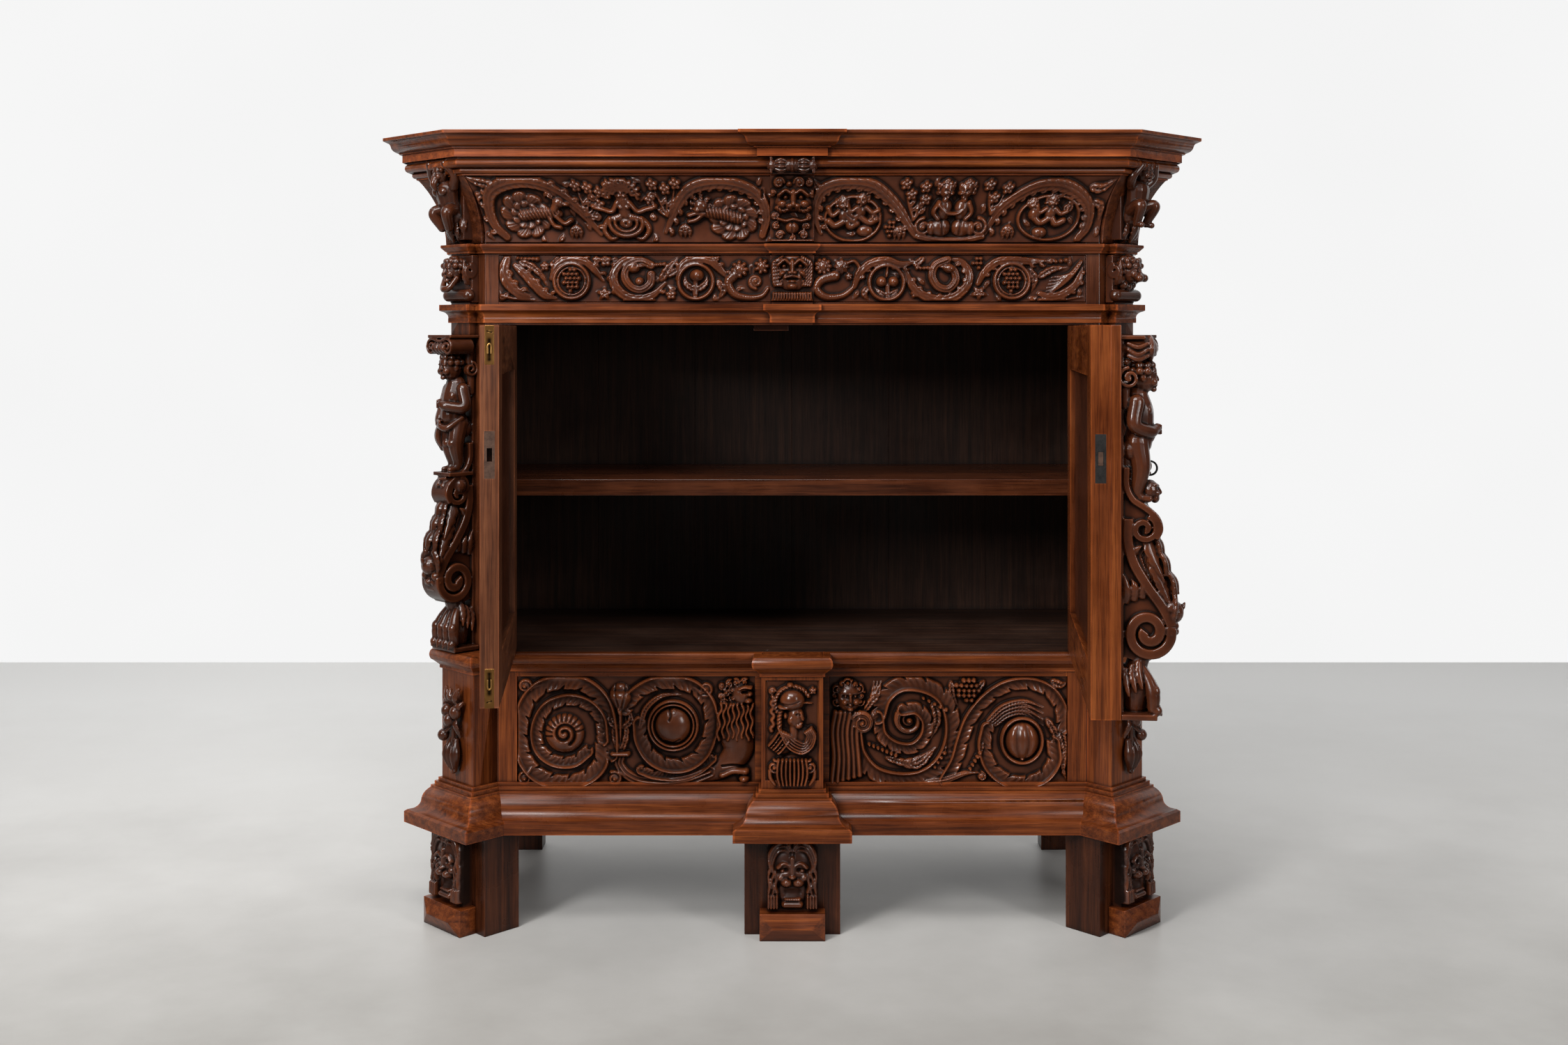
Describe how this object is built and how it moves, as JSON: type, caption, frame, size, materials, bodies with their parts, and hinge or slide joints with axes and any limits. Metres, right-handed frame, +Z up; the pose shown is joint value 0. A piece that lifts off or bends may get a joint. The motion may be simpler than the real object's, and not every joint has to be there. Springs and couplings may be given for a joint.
{
  "type": "carved cabinet",
  "caption": "Carved oak cabinet: pivoted doors with a centre caryatid, flared frieze drawers, canted corners with figures, lion feet and a deep moulded cornice.",
  "frame": {"origin": "on the floor, on the centre line, below the face of the front frame", "axes": "+X to the right seen from the front, +Y to the back, +Z up"},
  "size_m": [1.6374, 1.1296, 1.557],
  "materials": {
    "case_oak": "waxed, dark red-brown stain with worn edges",
    "carved_oak": "waxed carving, near-black in the recesses",
    "interior_oak": "dull dark brown",
    "brass": "aged",
    "iron": "dark, slightly rusted"
  },
  "bodies": {
    "carcass": {"back_boards": "interior_oak", "base_board": "interior_oak", "base_front_frame": "case_oak", "base_moulding": "case_oak", "base_panels": "carved_oak", "bed_frame": "interior_oak", "bed_moulding": "case_oak", "centre_bust": "carved_oak", "centre_pedestal": "case_oak", "centre_spool_cap": "carved_oak", "corner_pedestals": "case_oak", "corner_posts": "case_oak", "cornice_moulding": "case_oak", "cupboard_floor": "interior_oak", "door_stop": "interior_oak", "drawer_dust_boards": "interior_oak", "drawer_guides": "interior_oak", "foot_diamond_blocks": "case_oak", "foot_lion_masks": "carved_oak", "front_feet": "case_oak", "front_rails": "case_oak", "fruit_drops": "carved_oak", "left_bracket_figure": "carved_oak", "left_caryatid": "carved_oak", "left_corner_head": "carved_oak", "lintel_moulding": "case_oak", "pivot_plates": "iron", "rear_feet": "case_oak", "right_bracket_figure": "carved_oak", "right_caryatid": "carved_oak", "right_corner_head": "carved_oak", "shelf": "interior_oak", "shelf_bearers": "interior_oak", "side_frames": "case_oak", "side_friezes": "case_oak", "side_panels": "case_oak", "string_moulding": "case_oak", "top_board": "case_oak", "waist_moulding": "case_oak"},
    "left_door": {"left_door_frame": "case_oak", "left_door_panel": "carved_oak", "left_door_pins": "iron", "strike_plate": "iron", "flush_bolt_plates": "brass"},
    "bottom_flush_bolt": {"bottom_flush_bolt": "brass"},
    "top_flush_bolt": {"top_flush_bolt": "brass"},
    "right_door": {"right_door_frame": "case_oak", "right_door_panel": "carved_oak", "right_door_pins": "iron", "centre_caryatid": "carved_oak", "lock_case": "iron"},
    "lock_bolt": {"lock_bolt": "iron"},
    "key": {"key": "iron"},
    "lower_drawer": {"lower_drawer_front": "carved_oak", "lower_drawer_box": "interior_oak", "lower_drawer_mask": "carved_oak"},
    "upper_drawer": {"upper_drawer_front": "carved_oak", "upper_drawer_box": "interior_oak", "upper_drawer_mask": "carved_oak"}
  },
  "joints": [
    {"name": "left_door_hinge", "type": "hinge", "parent": "carcass", "child": "left_door", "pos_m": [-0.562, 0.016, 0.86], "axis": [0, 0, 1], "range_deg": [-6, 84]},
    {"name": "right_door_hinge", "type": "hinge", "parent": "carcass", "child": "right_door", "pos_m": [0.562, 0.016, 0.86], "axis": [0, 0, -1], "range_deg": [-6, 84]},
    {"name": "top_flush_bolt_slide", "type": "slide", "parent": "left_door", "child": "top_flush_bolt", "axis": [0, 0, 1], "range_m": [0, 0.014]},
    {"name": "bottom_flush_bolt_slide", "type": "slide", "parent": "left_door", "child": "bottom_flush_bolt", "axis": [0, 0, -1], "range_m": [0, 0.014]},
    {"name": "key_turn", "type": "hinge", "parent": "right_door", "child": "key", "pos_m": [0.5447, -0.49298, 0.943], "axis": [0.9945, -0.1045, 0], "range_deg": [0, 180]},
    {"name": "lock_bolt_slide", "type": "slide", "parent": "right_door", "child": "lock_bolt", "axis": [-0.1045, -0.9945, 0], "range_m": [0, 0.012]},
    {"name": "lower_drawer_slide", "type": "slide", "parent": "carcass", "child": "lower_drawer", "axis": [0, -1, 0], "range_m": [0, 0.38]},
    {"name": "upper_drawer_slide", "type": "slide", "parent": "carcass", "child": "upper_drawer", "axis": [0, -1, 0], "range_m": [0, 0.38]}
  ],
  "couplings": [
    {"joint": "key_turn", "follows": "lock_bolt_slide", "rad_per_m": 261.79}
  ]
}
